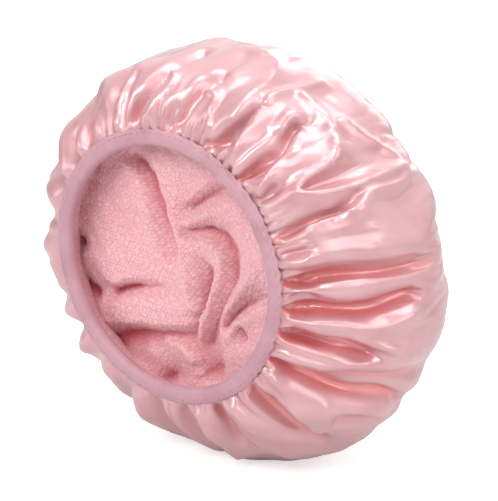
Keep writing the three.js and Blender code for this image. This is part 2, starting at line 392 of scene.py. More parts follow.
# satin shell: a cut disc gathered onto the rim and puffed out by a cloth simulation
satin = {
    # grid of the disc, finer on one side
    "columns": 224, "rows": 52, "rowSpread": (0.6, 0.4), "finer": 0.45, "finerSide": math.radians(75),
    # profile from the rim over the girth to the crown
    "edgeRadius": 0.0772, "edgeDepth": -0.0006, "girthRadius": 0.1305, "girthDepth": 0.066, "depth": 0.1275,
    "frontRoundness": 1.7, "crownRoundness": 2.5, "profileSteps": 400, "slopeStep": 1e-4,
    # the cut, and how much fuller it is than the profile
    "cutRadius": 0.200, "slack": 1.03, "ease": 1.10, "crownEase": 1.02,
    "lowEase": 0.08, "lowSide": math.radians(130),
    # puffs at the seam: how many, height, reach and seed
    "gathers": (72, 0.0036, 0.014, 7), "pleats": (38, 0.0028, 0.040, 41),
    "puff": {
        "spread": [(3, 2.0), (5, 1.6), (7, 1.2), (11, 1.0), (17, 0.8)],
        "uneven": [(9, 0.35), (13, 0.3), (21, 0.2)], "reach": [(6, 0.25), (10, 0.25), (15, 0.2)],
        "roundness": 0.7, "middle": 0.62, "seamShare": 0.25, "rise": 0.4, "riseCurve": 1.2,
    },
    # small waves, most on the crown and none at its middle
    "crumple": 0.0002, "crumpleSeed": 51, "crumpleWaves": 26, "crumpleLength": (0.025, 0.08),
    "crumpleRise": (0.002, 0.03), "crownCrumple": 1.5, "crownRise": (0.12, 0.16), "poleFade": 0.02,
    # folds, how firmly the cloth is held in the creases while it settles, and the crease depths over which
    # shade is painted into them
    "mmPerDegree": 1.9, "openSide": 100, "foldHold": 0.7, "foldGrip": 2.5,
    "holdEnd": 0.13, "holdFade": 0.006, "seedFade": 0.012, "sewnRow": 0.0012,
    "ridgePoint": 1.05, "ridgeWidth": 0.65, "ridgeStart": (0.001, 0.010), "ridgeFade": (0.085, 0.115),
    "creasePoint": 1.0, "creaseShare": 0.55, "creaseWidth": 0.8, "creaseTail": 0.65, "creaseShadeDepth": (0.8, 5.0),
    # how it stands: sunk, leaning, drawn in on the left, and clear of lining and floor
    "crestShare": 0.75, "squash": 254 / 264, "sag": 0.0105, "lean": 0.003,
    "dent": 0.09, "dentSide": 254, "dentWide": 42, "dentRise": (0.001, 0.013), "dentFade": (0.028, 0.060),
    "clear": 0.0065, "clearRise": (0.003, 0.018), "clearEnd": 0.055, "soft": 0.002,
    "floorSoft": 0.004, "floorSink": 0.0006, "thickness": 0.0006,
    "relax": 2, "roundSpan": 80, "roundStart": 0.0015, "roundEnd": 0.080, "roundTurns": 5,
    # the simulation runs on a bag this many times larger
    "simScale": 10, "frames": 30, "leastHold": 0.02,
    "cloth": {
        "quality": 5, "mass": 0.05, "tension_stiffness": 15, "compression_stiffness": 15,
        "shear_stiffness": 3, "bending_stiffness": 0.2, "tension_damping": 5, "compression_damping": 5,
        "shear_damping": 5, "bending_damping": 0.5, "air_damping": 2, "vertex_group_mass": "sewn",
        "pin_stiffness": 1.0, "use_pressure": True, "uniform_pressure_force": 1.2,
    },
}

# folds: height outwards, half width on the left and on the right of the route, all in mm,
# then (angle in degrees from the top, distance back from the rim in mm)
satinFolds = [
    (-7, 3, 5, [(19, 2), (24, 11), (28, 20), (28, 30), (26, 41)]),
    (-8, 3, 5, [(38, 0), (40, 12), (40, 21), (41, 31), (40, 37), (36, 46), (36, 52)]),
    (-5, 4, 4, [(49, 1), (50, 9), (50, 17)]),
    (-4, 9, 9, [(54, 33), (53, 49), (51, 67), (50, 87)]),
    (-4, 4, 4, [(64, 42), (62, 48), (58, 59)]),
    (-8, 2.5, 6, [(66, 3), (64, 24), (62, 46)]),
    (-7, 5, 5, [(2, 1), (6, 14), (6, 23), (7, 30), (9, 44), (8, 50)]),
    (-3, 6, 6, [(8, 50), (5, 75), (3, 99)]),
    (-5, 4, 4, [(72, 2), (72, 13), (72, 20)]),
    (-10, 2.5, 7, [(84, 1), (81, 24), (80, 40), (80, 54), (79, 71), (78, 96)]),
    (-5, 2, 3, [(91, 1), (89, 13), (88, 20)]),
    (-14, 2.5, 7, [(94, 1), (92, 21), (92, 36), (90, 58), (88, 65), (86, 79)]),
    (-14, 3, 9, [(104, 1), (103, 12), (104, 24), (102, 38), (104, 55)]),
    (-12, 2.5, 7, [(116, 1), (118, 16), (118, 29), (119, 41), (119, 54), (117, 80), (123, 102)]),
    (-8, 3, 7, [(115, 42), (113, 53), (112, 69), (110, 84), (110, 101)]),
    (-5, 8, 8, [(130, 62), (126, 74), (126, 88)]),
    (-10, 3, 6, [(134, 1), (136, 16), (138, 30), (140, 48), (140, 62)]),
    (-4, 6, 6, [(132, 19), (134, 32), (136, 41)]),
    (-9, 3, 6, [(154, 1), (157, 20), (159, 37)]),
    (-4, 3, 3, [(-32, 3), (-31, 16), (-31, 23)]),
    (-5, 4, 4, [(-28, 3), (-27, 19), (-26, 32)]),
    (-5, 4, 4, [(-22, 1), (-22, 15), (-20, 25), (-19, 39)]),
    (-8, 5, 5, [(-18, 1), (-15, 14), (-12, 23), (-10, 30), (-7, 47), (-7, 74)]),
    (-4, 3, 3, [(-1, 2), (1, 13), (2, 18)]),
    (-7, 5, 5, [(-42, 2), (-42, 18), (-40, 28), (-36, 39)]),
    (-7, 5, 5, [(-53, 2), (-52, 19), (-47, 28), (-42, 41)]),
    (-4, 6, 6, [(-66, 1), (-65, 25), (-62, 70)]),
    (-4, 6, 6, [(-81, 1), (-82, 60)]),
    (-7, 6, 6, [(172, 1), (175, 70)]),
    (-8, 6, 6, [(188, 2), (185, 60)]),
    (-5, 6, 6, [(203, 1), (205, 90)]),
    (-4, 6, 6, [(219, 1), (216, 55)]),
    (-5, 6, 6, [(233, 1), (236, 80)]),
    (-4, 6, 6, [(247, 1), (246, 50)]),
    (5, 6, 5, [(36, 4), (34, 8), (32, 16), (30, 28), (26, 45), (25, 65), (26, 88)]),
    (4, 4, 4, [(49, 8), (46, 16), (42, 31), (39, 47), (35, 57), (32, 52), (35, 40)]),
    (6, 7, 6, [(27, 69), (33, 68), (39, 66), (44, 62), (48, 56), (50, 45), (51, 31), (54, 26), (57, 32),
               (57, 47), (55, 74), (54, 96)]),
    (4.5, 5, 6, [(38, 76), (44, 83), (48, 93), (53, 100), (57, 94), (58, 80), (58, 66), (61, 60), (64, 52),
                 (65, 38), (66, 26)]),
    (4, 8, 8, [(6, 86), (14, 82), (20, 64), (22, 42), (24, 26)]),
    (2.5, 3, 3, [(74, 6), (76, 17), (74, 24)]),
    (4, 5, 6, [(84, 25), (83, 45), (82, 64), (81, 86), (80, 110)]),
    (4, 5, 6, [(98, 8), (97, 23), (97, 45), (95, 63), (91, 79)]),
    (4, 5, 5, [(99, 47), (101, 65), (104, 77)]),
    (3, 5, 5, [(110, 43), (108, 58), (106, 67)]),
    (3, 7, 7, [(126, 51), (124, 68), (126, 88)]),
    (4, 5, 5, [(122, 8), (126, 21), (130, 34), (134, 45), (138, 55), (129, 51), (126, 46)]),
    (3.5, 4, 4, [(-9, 6), (-6, 14), (-4, 22), (-2, 33), (-4, 39)]),
    (3.5, 4, 4, [(-25, 8), (-24, 19), (-22, 31), (-20, 47)]),
    (3, 4, 4, [(18, 16), (16, 20), (14, 34), (10, 33)]),
    (3.5, 5, 5, [(-47, 8), (-46, 20), (-41, 36), (-36, 52)]),
    (3.5, 5, 5, [(-60, 8), (-58, 24), (-53, 44)]),
    (3.5, 6, 6, [(146, 8), (149, 30), (151, 60)]),
    (3.5, 6, 6, [(164, 8), (166, 30), (168, 55)]),
    (3.5, 6, 6, [(195, 8), (196, 40), (195, 80)]),
    (3.5, 6, 6, [(226, 8), (226, 40), (227, 70)]),
    (3.5, 6, 6, [(-74, 8), (-73, 40), (-72, 75)]),
]


def satinProfile():
    turn = np.linspace(0, np.pi / 2, satin["profileSteps"])
    front, crown = 2 / satin["frontRoundness"], 2 / satin["crownRoundness"]
    edge, girth = satin["edgeRadius"], satin["girthRadius"]
    start, middle, end = satin["edgeDepth"], satin["girthDepth"], satin["depth"]
    fore = [edge + (girth - edge) * np.sin(turn) ** front,
            start + (middle - start) * (1 - np.cos(turn) ** front)]
    back = [girth * np.cos(turn) ** crown, middle + (end - middle) * np.sin(turn) ** crown]
    radius, depth = np.hstack([np.array(fore), np.array(back)[:, 1:]])
    radius[-1] = 0
    along = np.r_[0, np.cumsum(np.hypot(np.diff(radius), np.diff(depth)))]
    return along, radius, depth


def satinCut(along, radius):
    girth = int(np.argmax(radius))
    least = satin["crownEase"]
    crownward = least + (satin["ease"] - least) * radius / radius[girth]
    ease = np.where(np.arange(len(along)) < girth, satin["ease"], crownward)
    cut = np.maximum(satin["cutRadius"] - along, ease * radius)
    cut[-1] = 0
    step = np.diff(along) * satin["slack"]
    axial = np.r_[0, np.cumsum(np.sqrt(np.maximum(step ** 2 - np.diff(cut) ** 2, 0)))]
    return cut, axial


# routes are laid out on the bag's mean girth, cut open at the left
def satinPlan(angle, along):
    side = satin["openSide"]
    return ((np.degrees(angle) + side) % 360 - side) * satin["mmPerDegree"], along * mmPerMetre


def laidRoute(route):
    return [(degrees * satin["mmPerDegree"], back) for degrees, back in route]


# creases that the cloth starts from, and how firmly each point is held there
def satinSeed(angle, along):
    x, z = satinPlan(angle, along)
    rise, held = np.zeros(len(angle)), np.zeros(len(angle))
    grip = satin["foldGrip"]
    for height, left, right, route in satinFolds:
        if height < 0:
            laid, wide = laidRoute(route), max(left, right)
            rise = rise + foldHeight(x, z, height, wide, wide, laid, tail=satin["creaseTail"]) / mmPerMetre
            held = np.maximum(held, foldHeight(x, z, satin["foldHold"], grip, grip, laid))
    held[along > satin["holdEnd"]] = 0
    return rise * smooth(0, satin["seedFade"], along), held * smooth(0, satin["holdFade"], along)


# a row of puffs with narrow tucks between them, which fades away from the seam
def puffRow(angle, along, count, tall, reach, seed):
    puff = satin["puff"]
    spread = wobble(angle, puff["spread"], seed)
    uneven = 1 + wobble(angle, puff["uneven"], seed + 1)
    far = reach * (1 + wobble(angle, puff["reach"], seed + 2))
    shape = np.abs(np.sin((count * angle + spread) / 2)) ** puff["roundness"] - puff["middle"]
    least = puff["seamShare"]
    grown = least + (1 - least) * np.clip(along / (puff["rise"] * reach), 0, 1) ** puff["riseCurve"]
    return tall * uneven * shape * (grown * np.exp(-(along / far) ** 2))


# small waves in every direction of the flat cloth
def satinCrumple(flat):
    rng = np.random.default_rng(satin["crumpleSeed"])
    waves = np.zeros(len(flat))
    for turn in range(satin["crumpleWaves"]):
        heading, length = rng.uniform(0, 2 * math.pi), rng.uniform(*satin["crumpleLength"])
        across = flat @ np.array([math.cos(heading), math.sin(heading)])
        waves += np.sin(2 * math.pi * across / length + rng.uniform(0, anyPhase))
    return satin["crumple"] * waves


# pointed ridges and the sharp bottoms of the creases, pressed into the settled cloth, and the mask where
# shade is painted into the creases
def satinRidges(angle, along):
    x, z = satinPlan(angle, along)
    ridge, crease = np.zeros(len(angle)), np.zeros(len(angle))
    for height, left, right, route in satinFolds:
        laid = laidRoute(route)
        if height > 0:
            wide = satin["ridgeWidth"]
            raised = foldHeight(x, z, height, left * wide, right * wide, laid, satin["ridgePoint"])
            ridge = np.maximum(ridge, raised)
        else:
            wide, deep = satin["creaseWidth"], height * satin["creaseShare"]
            sharp = foldHeight(x, z, deep, left * wide, right * wide, laid,
                               satin["creasePoint"], satin["creaseTail"])
            crease = np.minimum(crease, sharp)
    ridge = ridge * (1 - smooth(*satin["ridgeFade"], along))
    rise = (ridge + crease) / mmPerMetre * smooth(*satin["ridgeStart"], along)
    return rise, smooth(*satin["creaseShadeDepth"], -crease)


def runCloth(piece, rest, held):
    size = satin["simScale"]
    piece.shape_key_add(name="Basis")
    cut = piece.shape_key_add(name="cut")
    cut.data.foreach_set("co", (rest * size).ravel())
    sewn = piece.vertex_groups.new(name="sewn")
    for number in np.flatnonzero(held > satin["leastHold"]):
        sewn.add([int(number)], float(held[number]), "REPLACE")
    modifier = piece.modifiers.new("cloth", "CLOTH")
    for name, value in satin["cloth"].items():
        setattr(modifier.settings, name, value)
    modifier.settings.rest_shape_key = cut
    modifier.settings.effector_weights.gravity = 0
    modifier.collision_settings.use_collision = False
    modifier.point_cache.frame_start, modifier.point_cache.frame_end = 1, satin["frames"]
    scene.frame_start, scene.frame_end = 1, satin["frames"]
    for step in range(1, satin["frames"] + 1):
        scene.frame_set(step)
    settled = piece.evaluated_get(bpy.context.evaluated_depsgraph_get())
    points = pointsOf(settled.to_mesh()) / size
    settled.to_mesh_clear()
    piece.modifiers.clear()
    piece.shape_key_clear()
    scene.frame_set(1)
    return points


# a point's angle round the rim, and its distance back along the cloth
def satinPlace(mesh, reach):
    x, z = attributeOf(mesh, "flatX"), attributeOf(mesh, "flatZ")
    return np.arctan2(x, z), reach - np.hypot(x, z)


# the simulated bag goes back to the cap's own profile, row by row
def trueRows(points, row, radius, depth):
    across = np.hypot(points[:, 0], points[:, 2])
    for number in np.unique(row):
        here = row == number
        target = radius[here][0]
        crest = np.quantile(across[here], satin["crestShare"])
        points[here, 1] += depth[here][0] - points[here, 1].mean()
        if target > tiny:
            points[here, 0] *= target / crest
            points[here, 2] *= target / crest
    return points


# degrees round the rim from the side that is drawn in
def fromDent(angle):
    return (np.degrees(angle) - satin["dentSide"] + 180) % 360 - 180


# it is drawn in near the rim on the left, and sinks under its own weight
def sink(points):
    x, back, z = points.T
    reach = satin["girthDepth"] - satin["edgeDepth"]
    share = smooth(0, 1, np.clip((back - satin["edgeDepth"]) / reach, 0, 1))
    drawn = smooth(*satin["dentRise"], back) * (1 - smooth(*satin["dentFade"], back))
    side = np.exp(-(fromDent(np.arctan2(x, z)) / satin["dentWide"]) ** 2)
    narrowed = 1 - satin["dent"] * drawn * side
    sunkX = x * narrowed + satin["lean"] * share
    sunkZ = z * narrowed * (1 + (satin["squash"] - 1) * share) - satin["sag"] * share
    return np.stack([sunkX, back, sunkZ], 1)


# creases stop short of the lining, and the bag lies flat on the floor
def keepClear(points):
    x, back, z = points.T
    across = np.hypot(x, z)
    room = terryEdge(np.arctan2(x, z)) + satin["clear"] - satin["edgeRadius"]
    least = satin["edgeRadius"] + room * smooth(*satin["clearRise"], back)
    wider = np.where(back < satin["clearEnd"], least + softly(across - least, satin["soft"]), across)
    grown = wider / np.maximum(across, 1e-9)
    floor = -rim["middle"].z
    lying = floor + softly(z * grown - floor, satin["floorSoft"]) - satin["floorSink"]
    return np.stack([x * grown, back, lying], 1)


# the puffs on the left, where the grid is widest, are rounded off
def roundPuffs(mesh, angle, row):
    near = (row > satin["roundStart"]) & (row < satin["roundEnd"])
    left = np.abs(fromDent(angle)) < satin["roundSpan"]
    with meshEdit(mesh) as bm:
        bm.verts.ensure_lookup_table()
        relax(bm, [bm.verts[number] for number in np.flatnonzero(near & left)], satin["roundTurns"])


# the flat disc, with its rows closer together at the rim
def satinDisc(reach):
    bm = bmesh.new()
    bmesh.ops.create_grid(bm, x_segments=satin["columns"], y_segments=satin["rows"], size=0.5)
    flatX, flatZ = bm.verts.layers.float.new("flatX"), bm.verts.layers.float.new("flatZ")
    even, closer = satin["rowSpread"]
    for vert in bm.verts:
        v, turn = vert.co.y + 0.5, 2 * math.pi * (vert.co.x + 0.5)
        turn -= satin["finer"] * math.sin(turn - satin["finerSide"])
        back = reach * (1 - even * v - closer * v * v)
        vert[flatX], vert[flatZ] = back * math.sin(turn), back * math.cos(turn)
        vert.co = (vert[flatX], vert[flatZ], 0)
    bmesh.ops.remove_doubles(bm, verts=bm.verts, dist=tiny)
    return newPiece("satinShell", bm)


# the bag that the cloth settles from, and how firmly its points are held
def satinStart(angle, row, along, radius, depth):
    step = satin["slopeStep"]
    slopeR, slopeD = (np.interp(row + step, along, line) - np.interp(row - step, along, line)
                      for line in (radius, depth))
    slope = np.hypot(slopeR, slopeD) + 1e-12
    rowRadius, rowDepth = np.interp(row, along, radius), np.interp(row, along, depth)
    rise, held = satinSeed(angle, row)
    across = (rowRadius + rise * slopeD / slope) * (rowRadius > tiny)
    back = rowDepth - rise * slopeR / slope
    points = np.stack([across * np.sin(angle), back, across * np.cos(angle)], 1)
    return points, np.where(row < satin["sewnRow"], 1.0, held)


# the cut cloth's own shape, which the simulation tries to go back to
def satinRest(angle, row, along, radius):
    cut, axial = satinCut(along, radius)
    rowCut = np.interp(row, along, cut)
    spread = angle + satin["lowEase"] * np.sin(angle - satin["lowSide"])
    return np.stack([rowCut * np.sin(spread), np.interp(row, along, axial), rowCut * np.cos(spread)], 1)


def makeSatin(material):
    along, radius, depth = satinProfile()
    piece = satinDisc(along[-1])
    mesh = piece.data
    angle, row = satinPlace(mesh, along[-1])
    points, held = satinStart(angle, row, along, radius, depth)
    setPoints(mesh, points * satin["simScale"])
    with meshEdit(mesh) as bm:
        bmesh.ops.recalc_face_normals(bm, faces=bm.faces)
    points = runCloth(piece, satinRest(angle, row, along, radius), held)
    rowRadius, rowDepth = np.interp(row, along, radius), np.interp(row, along, depth)
    setPoints(mesh, trueRows(points, np.round(row, 5), rowRadius, rowDepth))
    # finer cloth for the small folds
    with meshEdit(mesh) as bm:
        bmesh.ops.subdivide_edges(bm, edges=bm.edges, cuts=1, use_grid_fill=True)
        relax(bm, unsewn(bm), satin["relax"])
    angle, row = satinPlace(mesh, along[-1])
    flat = np.stack([attributeOf(mesh, "flatX"), attributeOf(mesh, "flatZ")], 1)
    puffs = puffRow(angle, row, *satin["gathers"]) + puffRow(angle, row, *satin["pleats"])
    ridges, creaseShade = satinRidges(angle, row)
    live = smooth(*satin["crumpleRise"], row) + satin["crownCrumple"] * smooth(*satin["crownRise"], row)
    crumple = satinCrumple(flat) * live * smooth(0, satin["poleFade"], along[-1] - row)
    rise = puffs + ridges + crumple
    points = keepClear(sink(pointsOf(mesh) + normalsOf(mesh) * rise[:, None])) + np.array(rim["middle"])
    setPoints(mesh, points)
    roundPuffs(mesh, angle, row)
    setUv(mesh, flat)
    setAttribute(mesh, "turn", angle * satin["girthRadius"])
    setAttribute(mesh, "back", row)
    # the mask of painted shade in the creases
    setAttribute(mesh, "creaseShade", creaseShade)
    mesh.materials.append(material)
    print("satin shell made", points.min(0).round(4), points.max(0).round(4))
    return piece


film = {"inset": 0.0013, "thickness": 0.0003}


def makeFilm(shell, material):
    mesh = shell.data.copy()
    mesh.name = "waterproofFilm"
    piece = bpy.data.objects.new("waterproofFilm", mesh)
    scene.collection.objects.link(piece)
    setPoints(mesh, pointsOf(mesh) - normalsOf(mesh) * film["inset"])
    mesh.materials.clear()
    mesh.materials.append(material)
    thicken(piece, film["thickness"])
    print("film made")
    return piece


# terry lining: crumpled in the opening, sewn into the rim round its edge
terry = {
    "cells": 240, "dishShare": 0.9, "relax": 3, "thickness": 0.002,
    # the dish's edge, further out on the left, and the wall from there to the seam
    "edge": 0.0795, "edgeWide": 0.010, "edgeTurn": 0.5, "edgeLeast": -0.5,
    "wallBulge": 0.005, "wallRadius": 0.080, "wallDepth": 0.030, "neckDepth": 0.022,
    "seamRadius": 0.0768, "seamDepth": 0.0046,
    # the stretched skin, in mm: its sewn ring is a radius, a depth and a count of points
    "ring": (88, 7, 24), "span": 100, "turns": 1500, "soften": 2,
    "lift": 3.2, "relief": 1.5, "deepest": 26, "shift": (4.4, 2.6),
    # ripples: height, waves across and up, and the size, waves and start of what bends them
    "ripple": 0.0006, "rippleWaves": (210, 190), "rippleBends": ((3, 90, 0), (2.5, 110, 1)),
    # loops of the pile
    "loopPitch": 0.0021, "loopRow": 0.0018, "loopWide": 0.00090, "loopRise": 0.0008, "loopEdge": 0.94,
    "loopField": 0.24, "loopShift": 0.16, "loopTall": (0.6, 1.2), "loopSeed": 11,
    "jitter": 0.00006, "jitterSeed": 12,
    # where shade is painted into the deep hollows, most of all on the left
    "shadeDepth": (0.0195, 0.026), "shadeShare": 0.62, "shadeSide": (0.025, 0.055),
}

# ridges and hollows of the crumpled cloth: (x, z) from the rim's middle and the depth behind it,
# before lift and relief, in mm
terryLines = [
    [(-44, 55, 9), (-30, 44, 8), (-23, 30, 8), (-20, 14, 7), (-11, -1, 7), (-6, -10, 8)],
    [(-17, 65, 7), (-9, 44, 6), (-2, 27, 5), (6, 12, 4), (7, -6, 4), (11, -21, 5), (18, -33, 6)],
    [(-36, 56, 14), (-23, 45, 15), (-19, 34, 16), (-14, 24, 15), (-7, 12, 14), (-3, 2, 12)],
    [(-67, 31, 10), (-55, 23, 11), (-42, 15, 11), (-32, 20, 10)],
    [(-73, -12, 8), (-57, -9, 7), (-42, -1, 7), (-29, 10, 8)],
    [(-63, -15, 8), (-50, -24, 7), (-39, -18, 7), (-24, -15, 8), (-11, -13, 8)],
    [(-53, -32, 17), (-43, -26, 16), (-26, -22, 13), (-13, -18, 11)],
    [(-61, -41, 8), (-36, -31, 7), (-10, -27, 7), (7, -27, 6)],
    [(-55, -50, 8), (-32, -43, 7), (-11, -40, 7), (17, -33, 7)],
    [(-60, -65, 22), (-39, -54, 17), (-17, -50, 15), (8, -44, 15)],
    [(-41, -70, 12), (-22, -61, 10), (-18, -72, 10)],
    [(-14, -51, 10), (1, -52, 8), (10, -59, 8)],
    [(1, -48, 13), (11, -55, 13), (14, -62, 13)],
    [(-2, -72, 12), (13, -66, 9)],
    [(-17, -80, 22), (-8, -73, 16)],
    [(-1, 63, 8), (12, 59, 7), (20, 55, 7)],
    [(31, 57, 7), (17, 48, 8), (6, 37, 9)],
    [(32, 51, 12), (18, 42, 14), (6, 33, 14)],
    [(52, 50, 6), (34, 41, 6), (18, 32, 6), (7, 24, 6)],
    [(6, 20, 12), (19, 23, 15), (29, 19, 16), (35, 12, 16), (37, 1, 15), (36, -9, 14)],
    [(9, 14, 5), (22, 17, 6), (30, 13, 7), (31, 5, 7), (27, -8, 6), (22, -22, 5), (17, -38, 5), (14, -45, 7)],
    [(16, 6, 9), (20, 0, 13), (19, -9, 18), (16, -22, 20), (13, -33, 18), (10, -40, 15)],
    [(12, 4, 6), (13, -8, 7), (12, -19, 8)],
    [(34, -11, 13), (27, -24, 13), (21, -36, 14), (17, -47, 15)],
    [(67, 22, 6), (56, 9, 5), (46, -5, 5), (36, -20, 6), (27, -35, 8)],
    [(61, -8, 12), (46, -15, 14), (35, -24, 15), (28, -34, 15)],
    [(68, -10, 8), (52, -19, 8), (41, -27, 8), (31, -41, 9)],
    [(40, -31, 14), (44, -39, 14)],
    [(57, -26, 9), (47, -44, 9), (31, -51, 10)],
    [(16, -66, 17), (26, -60, 17)],
    [(-80, -4, 16), (-76, -7, 15)],
    [(-80, -29, 16), (-74, -34, 16), (-66, -37, 16)],
    [(-62, -62, 16), (-50, -68, 16)],
    [(-61, 48, 11), (-72, 30, 11), (-77, 15, 11)],
]


def neighbours(skin):
    return (np.roll(skin, 1, 0) + np.roll(skin, -1, 0) + np.roll(skin, 1, 1) + np.roll(skin, -1, 1)) / 4


# the cloth hangs as a stretched skin between the lines and a ring at the sewn edge
def terrySkin():
    radius, depth, count = terry["ring"]
    turns = np.linspace(0, 2 * math.pi, count + 1)
    ring = [(radius * math.sin(turn), radius * math.cos(turn), depth) for turn in turns]
    span = terry["span"]
    skin = np.full((2 * span + 1, 2 * span + 1), float(depth))
    fixed = np.zeros(skin.shape, bool)
    for line in [ring, *terryLines]:
        for start, end in zip(line, line[1:]):
            for share in np.linspace(0, 1, 2 * int(math.dist(start, end)) + 2):
                x, z, deep = (a + share * (b - a) for a, b in zip(start, end))
                spot = round(z) + span, round(x) + span
                skin[spot] = min(terry["lift"] + deep * terry["relief"], terry["deepest"])
                fixed[spot] = True
    for turn in range(terry["turns"]):
        skin = np.where(fixed, skin, neighbours(skin))
    for turn in range(terry["soften"]):
        skin = (skin + neighbours(skin)) / 2
    return skin


def terryDepth(x, z):
    skin, span = terrySkin(), terry["span"]
    shifted = x + terry["shift"][0], z + terry["shift"][1]
    column, row = (np.clip(value + span, 0, 2 * span - 1e-6) for value in shifted)
    left, low = column.astype(int), row.astype(int)
    right, up = column - left, row - low
    lower = skin[low, left] * (1 - right) + skin[low, left + 1] * right
    upper = skin[low + 1, left] * (1 - right) + skin[low + 1, left + 1] * right
    return lower * (1 - up) + upper * up


# loops of the pile: beads in staggered rows, no two quite alike
def terryLoops(u, v):
    rng = np.random.default_rng(terry["loopSeed"])
    pitch, gap, stray = terry["loopPitch"], terry["loopRow"], terry["loopShift"]
    count = int(terry["loopField"] / gap)
    shiftU, shiftV = rng.uniform(-stray, stray, (2, count, count))
    tall = rng.uniform(*terry["loopTall"], (count, count))
    row = np.floor(v / gap + count / 2).astype(int)
    best = np.zeros(len(u))
    for stepRow in (-1, 0, 1):
        r = row + stepRow
        column = np.floor(u / pitch + count / 2 - 0.5 * (r % 2)).astype(int)
        for stepColumn in (-1, 0, 1):
            c = column + stepColumn
            du = u - (c + 0.5 + 0.5 * (r % 2) - count / 2 + shiftU[r, c]) * pitch
            dv = v - (r + 0.5 - count / 2 + shiftV[r, c]) * gap
            dome = np.sqrt(np.maximum(1 - (du * du + dv * dv) / terry["loopWide"] ** 2, 0))
            best = np.maximum(best, dome * tall[r, c])
    return best


def terryEdge(angle):
    left = np.clip(-np.sin(angle + terry["edgeTurn"]), terry["edgeLeast"], 1)
    return terry["edge"] + terry["edgeWide"] * left


def terryRipple(x, z):
    across, up = terry["rippleWaves"]
    (sizeX, wavesX, startX), (sizeZ, wavesZ, startZ) = terry["rippleBends"]
    flowing = np.sin(across * x + sizeX * np.sin(wavesX * z + startX))
    return terry["ripple"] * flowing * np.sin(up * z + sizeZ * np.sin(wavesZ * x + startZ))


# a square grid cut round, so that the loops keep their rows
def terryDisc():
    bm = bmesh.new()
    bmesh.ops.create_grid(bm, x_segments=terry["cells"], y_segments=terry["cells"], size=1)
    outside = [vert for vert in bm.verts if vert.co.xy.length > 1]
    bmesh.ops.delete(bm, geom=outside, context="VERTS")
    loose = [vert for vert in bm.verts if not vert.link_faces]
    bmesh.ops.delete(bm, geom=loose, context="VERTS")
    for vert in bm.verts:
        if vert.is_boundary:
            vert.co.xy = vert.co.xy.normalized()
    bmesh.ops.rotate(bm, verts=bm.verts, cent=(0, 0, 0), matrix=Matrix.Rotation(math.pi / 2, 3, "X"))
    return newPiece("terryLining", bm)


# the dish, and the wall that bends from its edge to the seam
def terryShape(share, angle):
    edge, dish = terryEdge(angle), terry["dishShare"]
    plan = np.minimum(share / dish, 1) * edge
    x, z = plan * np.sin(angle), plan * np.cos(angle)
    depth = terryDepth(x * mmPerMetre, z * mmPerMetre) / mmPerMetre + terryRipple(x, z)
    t = np.clip((share - dish) / (1 - dish), 0, 1)
    curve = [(1 - t) ** 3, 3 * t * (1 - t) ** 2, 3 * t * t * (1 - t), t ** 3]
    radii = [edge, edge + terry["wallBulge"], terry["wallRadius"], terry["seamRadius"]]
    depths = [depth, terry["wallDepth"], terry["neckDepth"], terry["seamDepth"]]
    outer = sum(weight * value for weight, value in zip(curve, radii))
    sunk = sum(weight * value for weight, value in zip(curve, depths))
    wall = share > dish
    x = np.where(wall, outer * np.sin(angle), x)
    z = np.where(wall, outer * np.cos(angle), z)
    return np.stack([x, np.where(wall, sunk, depth), z], 1)


def makeTerry(material):
    piece = terryDisc()
    mesh = piece.data
    gx, _, gz = pointsOf(mesh).T
    share = np.hypot(gx, gz)
    shape = terryShape(share, np.arctan2(gx, gz))
    setPoints(mesh, shape + np.array(rim["middle"]))
    with meshEdit(mesh) as bm:
        relax(bm, unsewn(bm), terry["relax"])
    flat = np.stack([gx, gz], 1) * terry["edge"] / terry["dishShare"]
    loop = terryLoops(flat[:, 0], flat[:, 1])
    inner = (share < terry["loopEdge"])[:, None]
    points = pointsOf(mesh) + normalsOf(mesh) * loop[:, None] * terry["loopRise"] * inner
    rng = np.random.default_rng(terry["jitterSeed"])
    setPoints(mesh, points + rng.normal(0, terry["jitter"], points.shape) * inner)
    # painted shade: darker red in the deep hollows, strongest on the left
    least = terry["shadeShare"]
    shade = least + (1 - least) * smooth(*terry["shadeSide"], -shape[:, 0])
    # the loop heights also drive the painted shade between the loops
    setAttribute(mesh, "pile", np.clip(loop, 0, 1))
    setAttribute(mesh, "sunk", shade * smooth(*terry["shadeDepth"], shape[:, 1]))
    setUv(mesh, flat)
    mesh.materials.append(material)
    thicken(piece, terry["thickness"])
    print("terry lining made", len(mesh.polygons))
    return piece


# tape folded over the rim, its free end lapped on itself
tape = {
    "fold": 0.0030, "foldSteps": 13, "thickness": 0.0007, "steps": 480, "middle": 0.075,
    # front leg, outwards from the lip and back from the face, then the back leg
    "frontLeg": [(0.0008, 0.0021), (0, 0.0016), (-0.0007, 0.0012), (-0.0013, 0.0010), (-0.0019, 0.0005),
                 (-0.003, 0.00015), (-0.0045, 0)],
    "backLeg": (-0.004, -0.001),
    # puckers along the lip, and slow waves of the whole ring: waves and seed
    "lipFade": (0.0755, 0.0800), "puckers": 76, "puckerOut": 0.00025, "puckerDeep": 0.0004,
    "puckerSpread": ([(3, 1.5), (7, 1.0), (13, 0.7)], 21), "puckerUneven": ([(9, 0.3), (17, 0.3)], 22),
    "driftRise": 0.0004, "drift": ([(2, 0.5), (3, 0.4), (5, 0.3), (8, 0.2)], 23),
    "swayRise": 0.00016, "sway": ([(2, 0.6), (4, 0.4), (7, 0.3)], 24),
    "lapAngle": math.radians(-48.75), "lapSpan": math.radians(15), "lapRise": 0.0005, "lapDraw": 0.0003,
    "lapSlant": 4, "lapEdge": 0.004, "lapTop": 0.02,
}


def tapeLine():
    lip, face, bend = rim["lip"], rim["face"], tape["fold"]
    front = [(lip + out, -face + back) for out, back in tape["frontLeg"]]
    turns = np.linspace(0, math.pi, tape["foldSteps"])
    roll = [(rim["inside"] + bend - bend * math.sin(a), -face * math.cos(a)) for a in turns]
    return front + roll + [(lip + out, face) for out in tape["backLeg"]]


